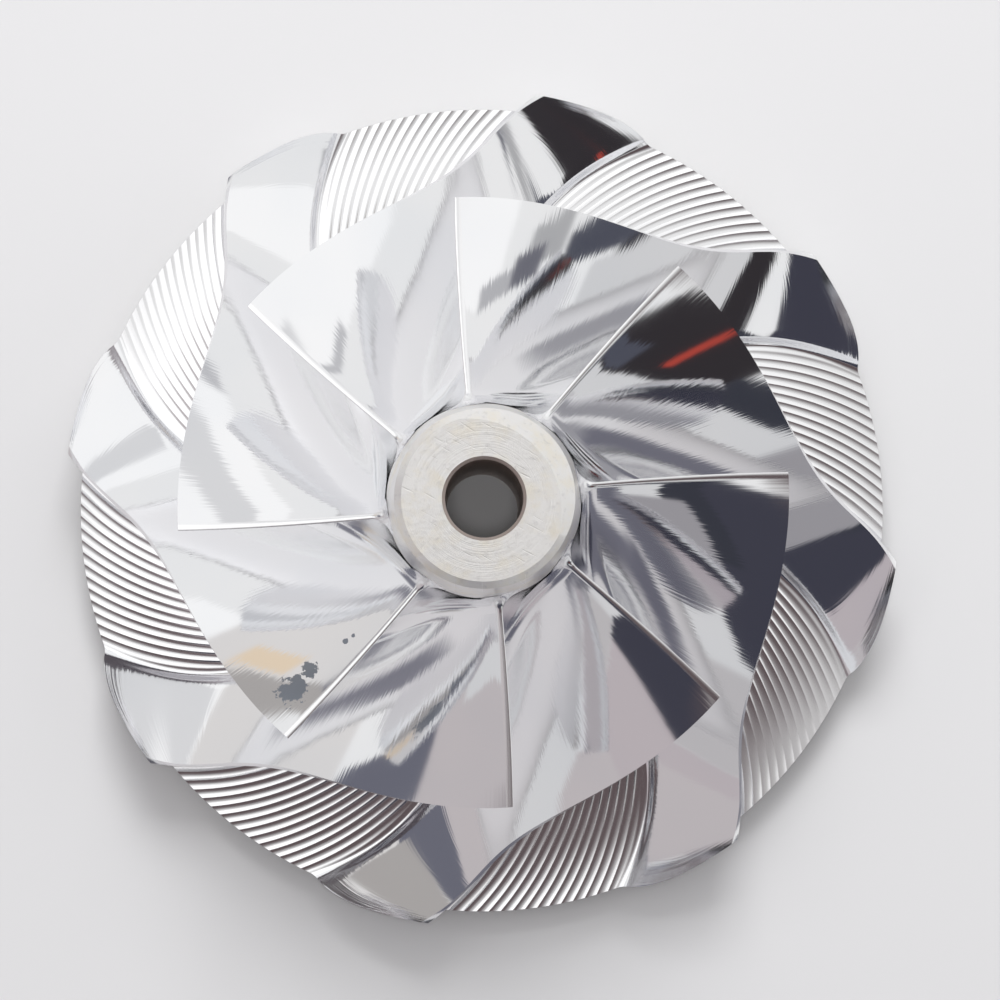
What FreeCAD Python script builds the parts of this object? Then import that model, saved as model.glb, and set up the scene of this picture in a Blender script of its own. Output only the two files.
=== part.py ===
"""Compressor wheel of a turbocharger, milled from one solid billet: hub, eight full blades and bore.

The wheel lies on its rear boss. Its axis is Z, the rear face of the boss is at Z = 0 and the nose
points up. The leading edge of the first blade lies along +X, and every blade trails clockwise, seen
from the nose, on its way down to the rim.
"""

import FreeCAD, Part

import math
import os

import Sketcher
from FreeCAD import Placement, Rotation, Vector

# Driving dimensions: millimetres, degrees and counts.
DIMENSIONS = {
    # turned outline of the blades
    "exducer_diameter": 86.0,  # over the blade tips
    "inducer_diameter": 60.0,  # over the leading edges
    "inlet_height": 30.0,  # boss face to leading edge, at the hub
    "inlet_drop": 2.0,  # the leading edge is this much lower at its tip
    "tip_width": 5.0,  # disc face to blade tip, at the rim
    "undercut_radius": 4.8,  # the trailing edge curves in to the rim
    "shroud_fullness": 0.55,
    # hub, nose and disc
    "overall_height": 37.0,
    "nose_diameter": 17.1,
    "nose_bevel": 0.6,
    "hub_inlet_diameter": 19.0,
    "hub_inset": 0.4,  # the hub curve starts below the leading edges and ends inside the rim
    "hub_fullness": 0.55,
    "rim_inset": 1.2,  # the disc is this much smaller than the blade tips, all round
    "disc_face_height": 4.0,
    "rim_thickness": 1.6,
    "back_slope_drop": 1.2,  # the rear face falls this much from rim to boss
    "boss_diameter": 18.0,
    "boss_taper": 1.0,  # the boss widens this much towards the disc, all round
    "bore_diameter": 7.5,
    "edge_chamfer": 0.3,
    # balancing cut: a cone about an axis beside the wheel's takes a crescent off the nose's edge
    "balance_cut_offset": 2.0,
    "balance_cut_radius": 8.95,
    "balance_cut_fall": 1.3,  # depth for each millimetre of width
    "balance_cut_direction": 36.0,
    # blades
    "blade_count": 8,
    "root_thickness": 1.2,
    "tip_thickness": 0.5,
    "edge_root_thickness": 0.5,  # at the leading edge
    "edge_tip_thickness": 0.2,
    "edge_taper_share": 0.06,  # share of the blade's length that thins to the leading edge
    "root_fillet": 1.6,
    "root_lead_angle": 2.1,  # the root starts this far ahead of the tip
    "hub_wrap": 73.9,
    "hub_inlet_angle": 30.2,
    "hub_exit_angle": 42.4,
    "shroud_wrap": 57.7,
    "shroud_inlet_angle": 68.5,
    "shroud_exit_angle": 51.6,
}

# Sizes that follow from the ones above.
DERIVED = {
    "rim_radius": "=exducer_diameter / 2 - rim_inset",
}

# Working allowances, which leave no trace on the finished wheel.
STATIONS = [-0.07, -0.02, 0.02, 0.06, 0.12, 0.2, 0.3, 0.4, 0.5, 0.6, 0.7, 0.8, 0.9, 0.98, 1.04]
TRIM_ALLOWANCE = 2.0  # blade stock outside the turned outline
ROOT_DEPTH = 0.8  # blade stock inside the hub
FOOT_SINK = 0.25  # the root blend runs this far into the hub
CORE_RADIUS = 5.0  # the turned outline of the blades is closed here, inside the hub
OUTLINE_SINK = 0.8  # and this far inside the disc
BALANCE_CUT_REACH = 3.0  # the cutting cone runs on past the nose
RIM_MARGIN = 0.14  # the trailing edge meets the disc just inside the rim's corner


def add_sheet(doc):
    """The spreadsheet that holds the driving dimensions, one aliased cell each."""
    sheet = doc.addObject("Spreadsheet::Sheet", "dims")
    for row, (name, value) in enumerate({**DIMENSIONS, **DERIVED}.items(), start=1):
        sheet.set(f"A{row}", name)
        sheet.set(f"B{row}", str(value))
        sheet.setAlias(f"B{row}", name)
    doc.recompute()
    return sheet


def origin_feature(body, role):
    return next(item for item in body.Origin.OriginFeatures if item.Role == role)


class Outline:
    """A sketch whose points are placed by expressions in the sheet's sizes."""

    def __init__(self, body, name, role="XZ_Plane", offset=None):
        self.sketch = body.newObject("Sketcher::SketchObject", name)
        self.sketch.AttachmentSupport = [(origin_feature(body, role), "")]
        self.sketch.MapMode = "FlatFace"
        if offset is not None:
            self.sketch.AttachmentOffset = offset

    def value(self, expression):
        found = self.sketch.evalExpression(str(expression))
        return float(getattr(found, "Value", found))

    def point(self, corner):
        return Vector(self.value(corner[0]), self.value(corner[1]), 0)

    def bind(self, constraint, expression):
        index = self.sketch.addConstraint(constraint)
        self.sketch.setExpression(f"Constraints[{index}]", str(expression))

    def pin(self, element, end, corner):
        """Fix one point of an element at a corner given as two expressions."""
        where = self.point(corner)
        if str(corner[0]) == "0":
            self.sketch.addConstraint(Sketcher.Constraint("PointOnObject", element, end, -2))
        else:
            self.bind(Sketcher.Constraint("DistanceX", -1, 1, element, end, where.x), corner[0])
        if str(corner[1]) == "0":
            self.sketch.addConstraint(Sketcher.Constraint("PointOnObject", element, end, -1))
        else:
            self.bind(Sketcher.Constraint("DistanceY", -1, 1, element, end, where.y), corner[1])

    def join(self, first, second):
        self.sketch.addConstraint(Sketcher.Constraint("Coincident", first, 2, second, 1))

    def line(self, start, end):
        return self.sketch.addGeometry(Part.LineSegment(self.point(start), self.point(end)))

    def path(self, corners):
        """Straight lines through the corners, each corner pinned; the elements in order."""
        lines = [self.line(a, b) for a, b in zip(corners, corners[1:])]
        for element, corner in zip(lines, corners):
            self.pin(element, 1, corner)
        self.pin(lines[-1], 2, corners[-1])
        for first, second in zip(lines, lines[1:]):
            self.join(first, second)
        return lines

    def arc(self, centre, radius, start, end):
        """An arc from start to end about a centre; the points are numbers, not yet constrained."""
        first = math.atan2(start.y - centre.y, start.x - centre.x)
        last = math.atan2(end.y - centre.y, end.x - centre.x)
        circle = Part.Circle(centre, Vector(0, 0, 1), radius)
        return self.sketch.addGeometry(Part.ArcOfCircle(circle, first, last))

    def curve(self, poles):
        """A cubic curve with four poles given as expressions; its ends are joined by others."""
        places = [self.point(pole) for pole in poles]
        spline = Part.BSplineCurve(places, None, None, False, 3, None, False)
        element = self.sketch.addGeometry(spline)
        for number, (pole, place) in enumerate(zip(poles, places)):
            mark = self.sketch.addGeometry(Part.Circle(place, Vector(0, 0, 1), 1.0), True)
            self.sketch.addConstraint(
                Sketcher.Constraint(
                    "InternalAlignment:Sketcher::BSplineControlPoint", mark, 3, element, number
                )
            )
            self.sketch.addConstraint(Sketcher.Constraint("Weight", mark, 1.0))
            if number in (1, 2):
                self.pin(mark, 3, pole)
        return element


def meridian_poles(start, end, fullness):
    """Four poles of a quarter curve that leaves along the axis and arrives along the radius."""
    (r0, z0), (r1, z1) = start, end
    return [
        (r0, z0),
        (r0, f"{z0} - {fullness} * ({z0} - ({z1}))"),
        (f"{r1} - {fullness} * ({r1} - {r0})", z1),
        (r1, z1),
    ]


HUB_START = ("dims.hub_inlet_diameter / 2", "(dims.inlet_height - dims.hub_inset)")
HUB_END = ("(dims.rim_radius - dims.hub_inset)", "dims.disc_face_height")
SHROUD_START = ("dims.inducer_diameter / 2", "(dims.inlet_height - dims.inlet_drop)")
SHROUD_END = ("dims.exducer_diameter / 2", "(dims.disc_face_height + dims.tip_width)")
HUB_POLES = meridian_poles(HUB_START, HUB_END, "dims.hub_fullness")
SHROUD_POLES = meridian_poles(SHROUD_START, SHROUD_END, "dims.shroud_fullness")


def circles(shape, *rings):
    """Names of the edges that are circles about the axis, each ring a radius and a height."""
    names = []
    for number, edge in enumerate(shape.Edges, start=1):
        if not isinstance(edge.Curve, Part.Circle):
            continue
        found = Vector(edge.Curve.Radius, edge.Curve.Center.z, 0)
        if any(found.distanceToPoint(ring) < 1e-4 for ring in rings):
            names.append(f"Edge{number}")
    return names


def revolve(body, kind, name, outline):
    feature = body.newObject(f"PartDesign::{kind}", name)
    feature.Profile = outline.sketch
    feature.ReferenceAxis = (outline.sketch, ["V_Axis"])
    feature.Angle = 360
    return feature


def bevel(body, name, base, rings, size):
    """A chamfer on the circular edges of the last feature."""
    feature = body.newObject("PartDesign::Chamfer", name)
    feature.Base = (base, circles(base.Shape, *rings))
    feature.setExpression("Size", size)
    body.Document.recompute()
    return feature


def add_hub(doc):
    """The turned hub: nose, flowing hub curve, thin disc, sloping rear face, boss and bore."""
    body = doc.addObject("PartDesign::Body", "hub")
    outline = Outline(body, "hub_meridian")
    rim_low = "(dims.disc_face_height - dims.rim_thickness)"
    bore, boss = "dims.bore_diameter / 2", "dims.boss_diameter / 2"
    corners = [
        HUB_START,
        (HUB_START[0], "(dims.inlet_height + dims.hub_inset)"),
        ("dims.nose_diameter / 2", "dims.overall_height"),
        (bore, "dims.overall_height"),
        (bore, "0"),
        (boss, "0"),
        (f"{boss} + dims.boss_taper", f"{rim_low} - dims.back_slope_drop"),
        ("dims.rim_radius", rim_low),
        ("dims.rim_radius", HUB_END[1]),
        HUB_END,
    ]
    lines = outline.path(corners)
    curve = outline.curve(HUB_POLES)
    outline.sketch.addConstraint(Sketcher.Constraint("Coincident", curve, 1, lines[0], 1))
    outline.sketch.addConstraint(Sketcher.Constraint("Coincident", curve, 2, lines[-1], 2))
    blank = revolve(body, "Revolution", "turned_blank", outline)
    doc.recompute()
    nose, bore_top, bore_foot, boss_foot = (outline.point(corner) for corner in corners[2:6])
    chamfered = bevel(body, "broken_edges", blank, [bore_top, bore_foot, boss_foot], "dims.edge_chamfer")
    bevel(body, "nose_edge", chamfered, [nose], "dims.nose_bevel")
    add_balance_cut(doc, body)
    return body


def add_balance_cut(doc, body):
    """The crescent ground off the nose's edge to balance the wheel."""
    turn = Rotation(Vector(0, 1, 0), float(doc.dims.get("balance_cut_direction")))
    shift = turn.multVec(Vector(-float(doc.dims.get("balance_cut_offset")), 0, 0))
    outline = Outline(body, "balance_section", offset=Placement(shift, turn))
    top, radius = "dims.overall_height", "dims.balance_cut_radius"
    outer = f"({radius} + {BALANCE_CUT_REACH})"
    low = (outer, f"{top} - dims.balance_cut_fall * {BALANCE_CUT_REACH}")
    ring = outline.path([(radius, top), low, (outer, top), (radius, top)][:3])
    closing = outline.line((outer, top), (radius, top))
    outline.join(ring[-1], closing)
    outline.join(closing, ring[0])
    revolve(body, "Groove", "balance_cut", outline)


class BladeLine:
    """One edge line of the blade's middle surface: a quarter curve with its wrap about the axis."""

    def __init__(self, poles, lead, wrap, inlet_angle, exit_angle):
        self.poles = poles
        self.lead, self.wrap = math.radians(lead), math.radians(wrap)
        (r0, z0), (_, z1), (r2, _), (r3, _) = poles
        # wrap per unit of the curve's parameter, from the blade angle off the meridian
        self.start_slope = math.tan(math.radians(inlet_angle)) * 3 * (z0 - z1) / r0
        self.end_slope = math.tan(math.radians(exit_angle)) * 3 * (r3 - r2) / r3

    def meridian(self, t):
        weights = ((1 - t) ** 3, 3 * t * (1 - t) ** 2, 3 * t**2 * (1 - t), t**3)
        radius = sum(w * pole[0] for w, pole in zip(weights, self.poles))
        height = sum(w * pole[1] for w, pole in zip(weights, self.poles))
        return radius, height

    def normal(self, t, step=1e-4):
        """Unit vector square to the turned surface that this line lies on, away from the hub."""
        (r0, z0), (r1, z1) = self.meridian(t - step), self.meridian(t + step)
        angle = self.angle(t)
        radial = Vector(math.cos(angle), math.sin(angle), 0) * (z0 - z1)
        return (radial + Vector(0, 0, r1 - r0)).normalize()

    def falling(self, t, across):
        """Curvature of the turned surface along one direction across the line."""
        radius, _ = self.meridian(t)
        angle = self.angle(t)
        around = Vector(-math.sin(angle), math.cos(angle), 0)
        radial = Vector(math.cos(angle), math.sin(angle), 0)
        return across.dot(around) ** 2 * self.normal(t).dot(radial) / radius

    def angle(self, t):
        """Wrap at t: a cubic with the two slopes and the whole wrap given."""
        rise = -self.start_slope * t * (1 - t) ** 2 + self.end_slope * t**2 * (1 - t)
        return self.lead + rise - self.wrap * t**2 * (3 - 2 * t)

    def point(self, t):
        radius, height = self.meridian(t)
        angle = self.angle(t)
        return Vector(radius * math.cos(angle), radius * math.sin(angle), height)

    def direction(self, t, step=1e-4):
        return (self.point(t + step) - self.point(t - step)).normalize()


def blend(first, second, share):
    return first + (second - first) * share


def section_corners(hub, shroud, t, size):
    """The corners of one blade section, from the tip down one side and up the other.

    The section's plane holds the ruling line from root to tip and the direction across the blade in
    the hub's surface. The blade leans over in this plane, so one root blend is wider than the other.
    """
    root = hub.point(t)
    span = shroud.point(t) - root
    reach = span.Length + TRIM_ALLOWANCE
    rule = span.normalize()
    flow = hub.direction(t)
    away = hub.normal(t)
    across = away.cross(flow).normalize()
    up = (rule - across * rule.dot(across)).normalize()
    lean = math.atan2(rule.dot(across), rule.dot(up))
    square = across * math.cos(lean) - up * math.sin(lean)
    down = up * (1 / up.dot(away))

    thin = math.exp(-max(t, 0.0) / size["edge_taper_share"])
    root_width = blend(size["root_thickness"], size["edge_root_thickness"], thin)
    tip_width = blend(size["tip_thickness"], size["edge_tip_thickness"], thin)
    root_width /= abs(square.dot(flow.cross(rule).normalize()))
    tip_width /= abs(square.dot(shroud.direction(t).cross(rule).normalize()))

    sides = []
    for side in (1, -1):
        foot = root + square * (side * root_width / 2)
        tip = root + rule * reach + square * (side * tip_width / 2)
        # a root fillet touches the flank this far up and the hub this far out
        corner_angle = math.pi / 2 - side * lean
        touch = size["root_fillet"] / math.tan(corner_angle / 2)
        high = foot + (tip - foot).normalize() * touch
        low = foot + across * (side * touch)
        middle = foot + (high + low - foot * 2).normalize() * (
            size["root_fillet"] * (1 / math.sin(corner_angle / 2) - 1)
        )
        fall = hub.falling(t, across) * (touch + root_width / 2) ** 2 / 2
        low -= down * (fall + FOOT_SINK)
        sides.append([tip, high, middle, low, low - down * ROOT_DEPTH])
    first, second = sides
    return first + second[::-1]


def ruled_solid(rows, parameters):
    """A solid between ruled faces on smooth rails through the corners of its sections."""
    rails = []
    for corners in zip(*rows):
        rail = Part.BSplineCurve()
        rail.interpolate(Points=list(corners), Parameters=parameters)
        rails.append(rail.toShape())
    faces = [Part.makeRuledSurface(a, b) for a, b in zip(rails, rails[1:] + rails[:1])]
    faces += [Part.Face(Part.makePolygon([*row, row[0]])) for row in (rows[0], rows[-1])]
    shell = Part.makeShell(faces)
    shell.sewShape()
    solid = Part.makeSolid(shell)
    if solid.Volume < 0:
        solid.reverse()
    return solid


def add_blade_stock(doc, sheet):
    """All the blades before turning, each flank one ruled surface as a flank cutter leaves it."""
    size = {name: float(sheet.get(name)) for name in DIMENSIONS}

    def numbers(poles):
        return [tuple(float(sheet.evalExpression(part)) for part in pole) for pole in poles]

    hub = BladeLine(
        numbers(HUB_POLES),
        size["root_lead_angle"],
        size["hub_wrap"],
        size["hub_inlet_angle"],
        size["hub_exit_angle"],
    )
    shroud = BladeLine(
        numbers(SHROUD_POLES),
        0.0,
        size["shroud_wrap"],
        size["shroud_inlet_angle"],
        size["shroud_exit_angle"],
    )
    blade = ruled_solid([section_corners(hub, shroud, t, size) for t in STATIONS], STATIONS)
    count = round(size["blade_count"])
    turn = [Rotation(Vector(0, 0, 1), number * 360.0 / count) for number in range(count)]
    row = doc.addObject("Part::Feature", "blade_stock")
    row.Shape = Part.makeCompound([blade.transformed(Placement(Vector(), r).toMatrix()) for r in turn])
    return row


def add_turned_outline(doc):
    """The solid of revolution that leaves the leading edges, the shroud line and the trailing edges."""
    body = doc.addObject("PartDesign::Body", "turned_outline")
    outline = Outline(body, "shroud_meridian")
    add = outline.sketch.addConstraint
    radius = "dims.undercut_radius"
    rim, face = "dims.rim_radius", "dims.disc_face_height"
    slope = f"(dims.inlet_drop / ({SHROUD_START[0]} - {HUB_START[0]}))"
    core = (f"{CORE_RADIUS}", f"dims.inlet_height + {slope} * ({HUB_START[0]} - {CORE_RADIUS})")
    # the undercut's centre: its arc touches the tip circle and meets the disc inside the rim's corner
    inset = f"({SHROUD_END[0]} - {rim} + {RIM_MARGIN})"
    centre_height = f"({face} + sqrt({radius} ^ 2 - ({radius} - {inset}) ^ 2))"
    floor = f"({face} - {OUTLINE_SINK})"
    drop = f"({centre_height} - {floor})"
    foot = (f"{SHROUD_END[0]} - {radius} + sqrt({radius} ^ 2 - {drop} ^ 2)", floor)
    frame = outline.path([foot, (core[0], floor), core, SHROUD_START])
    shroud = outline.curve(SHROUD_POLES)
    (tip,) = outline.path([SHROUD_END, (SHROUD_END[0], centre_height)])
    centre = outline.point((f"{SHROUD_END[0]} - {radius}", centre_height))
    bend = outline.value(radius)
    undercut = outline.arc(centre, bend, outline.point(foot), centre + Vector(bend, 0, 0))
    outline.join(frame[-1], shroud)
    outline.join(shroud, tip)
    outline.bind(Sketcher.Constraint("Radius", undercut, bend), radius)
    add(Sketcher.Constraint("Coincident", tip, 2, undercut, 2))
    add(Sketcher.Constraint("Coincident", undercut, 1, frame[0], 1))
    revolve(body, "Revolution", "turned_solid", outline)
    return body


def check(doc, wheel):
    """Stop with the name of any object that failed, and check the finished shape."""
    failed = [item.Name for item in doc.Objects if {"Invalid", "Error"} & set(item.State)]
    if failed:
        raise RuntimeError(f"failed objects: {failed}")
    shape = wheel.Shape
    if shape.isNull() or not shape.isValid() or len(shape.Solids) != 1:
        raise RuntimeError(f"{wheel.Label} is not one valid solid")


def main():
    doc = FreeCAD.newDocument("wheel")
    sheet = add_sheet(doc)
    hub = add_hub(doc)
    blades = doc.addObject("Part::MultiCommon", "blades")
    blades.Shapes = [add_blade_stock(doc, sheet), add_turned_outline(doc)]
    wheel = doc.addObject("Part::Fuse", "wheel")
    wheel.Label = "compressor_wheel"
    wheel.Base, wheel.Tool = hub, blades
    wheel.Placement = Placement()
    doc.recompute()
    check(doc, wheel)
    os.makedirs("parts", exist_ok=True)
    wheel.Shape.exportStep(f"parts/{wheel.Label}.step")


main()
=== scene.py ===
"""Compressor wheel of a turbocharger: one bright milled skin over the solid hub and its blades."""

import math

import bmesh
import bpy
import numpy as np
from bpy.props import FloatProperty, FloatVectorProperty, IntProperty, PointerProperty
from bpy.types import Operator, Panel, PropertyGroup
from mathutils import Matrix, Vector


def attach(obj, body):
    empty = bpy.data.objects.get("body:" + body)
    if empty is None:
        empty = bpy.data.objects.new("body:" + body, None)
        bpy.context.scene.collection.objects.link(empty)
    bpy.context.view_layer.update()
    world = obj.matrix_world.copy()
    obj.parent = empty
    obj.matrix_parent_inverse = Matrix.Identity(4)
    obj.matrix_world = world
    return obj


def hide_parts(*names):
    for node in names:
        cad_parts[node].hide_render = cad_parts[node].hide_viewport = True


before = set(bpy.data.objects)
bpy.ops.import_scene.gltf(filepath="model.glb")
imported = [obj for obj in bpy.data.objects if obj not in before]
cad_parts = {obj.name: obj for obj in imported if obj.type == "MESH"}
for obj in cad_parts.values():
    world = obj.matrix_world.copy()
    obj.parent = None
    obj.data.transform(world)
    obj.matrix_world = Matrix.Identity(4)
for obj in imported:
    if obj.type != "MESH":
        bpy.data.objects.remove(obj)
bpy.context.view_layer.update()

bl_info = {
    "name": "Compressor Wheel",
    "version": (1, 0, 0),
    "blender": (4, 5, 0),
    "location": "View3D > Sidebar > Wheel",
    "description": "Builds a milled compressor wheel with its finishes and a plain studio",
    "category": "Add Mesh",
}


# ---------------------------------------------------------------- settings


def length(name, description, default):
    return FloatProperty(
        name=name, description=description, default=default, min=0.0, unit="LENGTH", precision=5
    )


def angle(name, description, degrees):
    return FloatProperty(
        name=name, description=description, default=math.radians(degrees), subtype="ANGLE"
    )


def share(name, description, default):
    return FloatProperty(
        name=name, description=description, default=default, min=0.0, max=1.0, subtype="FACTOR"
    )


def colour(name, description, default):
    return FloatVectorProperty(
        name=name,
        description=description,
        default=default,
        size=3,
        min=0.0,
        max=1.0,
        subtype="COLOR",
    )


class WheelSizes(PropertyGroup):
    """Sizes of the wheel, the same as in the solid model."""

    tip_radius: length("Tip radius", "Axis to the blade tips at the outlet", 0.043)
    inlet_radius: length("Inlet radius", "Axis to the tips of the leading edges", 0.030)
    inlet_height: length("Inlet height", "Boss face to the leading edges at the hub", 0.030)
    inlet_drop: length("Inlet drop", "How much lower a leading edge is at its tip", 0.002)
    tip_width: length("Tip width", "Disc face to blade tip at the rim", 0.005)
    undercut_radius: length("Undercut radius", "The trailing edge curves in to the rim", 0.0048)
    fullness: share("Fullness", "How long hub and shroud lines keep their first direction", 0.55)
    height: length("Height", "Boss face to nose face", 0.037)
    nose_radius: length("Nose radius", "Outside of the nose at its face", 0.00855)
    nose_bevel: length("Nose bevel", "Broken edge around the nose face", 0.0006)
    hub_radius: length("Hub radius", "Hub at the leading edges", 0.0095)
    hub_inset: length("Hub inset", "The hub curve starts and ends this far inside", 0.0004)
    rim_inset: length("Rim inset", "The disc is this much smaller than the blade tips", 0.0012)
    disc_face: length("Disc face height", "Boss face to the disc's front face at the rim", 0.004)
    rim_thickness: length("Rim thickness", "Thickness of the disc at its rim", 0.0016)
    back_drop: length("Back drop", "The rear face falls this much from rim to boss", 0.0012)
    boss_radius: length("Boss radius", "Outside of the rear boss", 0.009)
    boss_taper: length("Boss taper", "The boss widens this much towards the disc", 0.001)
    bore_radius: length("Bore radius", "The hole for the shaft", 0.00375)
    edge_chamfer: length("Edge chamfer", "Broken edges of bore and boss", 0.0003)


class BladeSizes(PropertyGroup):
    """Sizes and angles of the blades, the cutter's ridges and the balancing cut."""

    count: IntProperty(name="Blades", description="Number of blades", default=8, min=3, max=16)
    root_thickness: length("Root thickness", "Blade at the hub", 0.0012)
    tip_thickness: length("Tip thickness", "Blade at the shroud line", 0.0005)
    edge_root_thickness: length("Edge root thickness", "Leading edge at the hub", 0.0005)
    edge_tip_thickness: length("Edge tip thickness", "Leading edge at its tip", 0.0002)
    edge_share: share("Edge share", "Part of the blade that thins to its leading edge", 0.06)
    root_fillet: length("Root fillet", "Radius between blade and hub", 0.0016)
    root_lead: angle("Root lead", "The root starts this far ahead of the tip", 2.1)
    root_wrap: angle("Root wrap", "How far the root winds round the hub", 73.9)
    root_inlet: angle("Root inlet angle", "Root off the meridian at the inlet", 30.2)
    root_outlet: angle("Root outlet angle", "Root off the meridian at the outlet", 42.4)
    tip_wrap: angle("Tip wrap", "How far the tip winds round the axis", 57.7)
    tip_inlet: angle("Tip inlet angle", "Tip off the meridian at the inlet", 68.5)
    tip_outlet: angle("Tip outlet angle", "Tip off the meridian at the outlet", 51.6)
    cusps: IntProperty(name="Cutter passes", description="Passes in a pitch", default=26, min=4)
    cusp_height: length("Cusp height", "Height of the ridges between cutter passes", 0.00006)
    cut_width: length("Balancing cut width", "Widest part of the cut on the nose", 0.0010)
    cut_offset: length("Balancing cut offset", "Centre of the cut's circle off the axis", 0.0020)
    cut_direction: angle("Balancing cut direction", "Where the cut is widest", 36.0)


class FinishSettings(PropertyGroup):
    """Colours and roughness of the aluminium."""

    bright: colour("Bright", "Milled flanks and floors", (0.90, 0.90, 0.91))
    turned: colour("Turned", "Turned nose and rim", (0.93, 0.92, 0.90))
    bore: colour("Bore", "Inside of the bore", (0.62, 0.54, 0.50))
    flank_roughness: share("Flank roughness", "Blades, as the flank cutter leaves them", 0.06)
    nose_roughness: share("Nose roughness", "Turned faces", 0.36)


class StudioSettings(PropertyGroup):
    """The plain studio around the wheel."""

    floor: colour("Floor", "Colour of the floor", (0.625, 0.625, 0.634))
    backdrop: colour("Backdrop", "What the camera sees past the floor", (0.80, 0.80, 0.81))
    level: FloatProperty(
        name="Level", description="Strength of the tent's light", default=1.0, min=0.0
    )
    lens: FloatProperty(
        name="Lens", description="Focal length of the camera", default=136.8, min=10.0
    )


# ---------------------------------------------------------------- blade geometry

NEWTON_STEPS = 4
HALVINGS = 40
INLET_SEARCH = (-0.1, 0.2)  # along a blade line, from 0 at the inlet to 1 at the outlet
OUTLET_SEARCH = (0.7, 1.1)


def unit(vectors):
    return vectors / np.linalg.norm(vectors, axis=-1, keepdims=True)


def dot(a, b):
    return np.sum(a * b, axis=-1, keepdims=True)


def smooth(low, high, x):
    """0 below low, 1 above high, and 3s^2 - 2s^3 of the way s between them."""
    s = np.clip((x - low) / (high - low), 0.0, 1.0)
    return s * s * (3.0 - 2.0 * s)


def around(radius, turn, height):
    """Points from radius, angle about the axis, and height."""
    return np.stack(
        np.broadcast_arrays(radius * np.cos(turn), radius * np.sin(turn), height), axis=-1
    )


def radius_of(points):
    return np.hypot(points[..., 0], points[..., 1])


def turn_of(points):
    return np.arctan2(points[..., 1], points[..., 0])


def short_way(turn):
    """The same angle between half a turn back and half a turn on."""
    return (turn + math.pi) % (2 * math.pi) - math.pi


class EdgeLine:
    """One edge of the blade's middle surface: a cubic quarter curve that winds about the axis."""

    def __init__(self, start, end, fullness, lead, wrap, inlet, outlet):
        (r0, z0), (r1, z1) = start, end
        drop, reach = fullness * (z0 - z1), fullness * (r1 - r0)
        self.poles = np.array([(r0, z0), (r0, z0 - drop), (r1 - reach, z1), (r1, z1)])
        self.lead, self.wrap = lead, wrap
        self.first = math.tan(inlet) * 3 * drop / r0
        self.last = math.tan(outlet) * 3 * reach / r1

    def meridian(self, t):
        """Radius, height and their slopes: the cubic of the four poles at t."""
        w = np.stack([(1 - t) ** 3, 3 * t * (1 - t) ** 2, 3 * t**2 * (1 - t), t**3])
        d = np.stack([(1 - t) ** 2, 2 * t * (1 - t), t**2]) * 3
        place = np.tensordot(w, self.poles, (0, 0))
        slope = np.tensordot(d, np.diff(self.poles, axis=0), (0, 0))
        return place[..., 0], place[..., 1], slope[..., 0], slope[..., 1]

    def turn(self, t):
        """Angle about the axis: a cubic with a given slope at both ends and a given total wrap."""
        rise = -self.first * t * (1 - t) ** 2 + self.last * t**2 * (1 - t)
        return self.lead + rise - self.wrap * t**2 * (3 - 2 * t)

    def turn_slope(self, t):
        rise = -self.first * (1 - 4 * t + 3 * t**2) + self.last * (2 * t - 3 * t**2)
        return rise - self.wrap * 6 * t * (1 - t)

    def point(self, t):
        r, z, _, _ = self.meridian(t)
        return around(r, self.turn(t), z)

    def flow(self, t):
        """Unit vector along the line, from its slopes in radius, angle and height."""
        r, _, dr, dz = self.meridian(t)
        a, da = self.turn(t), self.turn_slope(t)
        return unit(around(dr, a, dz) + around(r * da, a + math.pi / 2, 0.0 * r))

    def normal(self, t):
        """Unit vector square to the turned surface under the line, away from the hub."""
        _, _, dr, dz = self.meridian(t)
        return unit(around(-dz, self.turn(t), dr))


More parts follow.
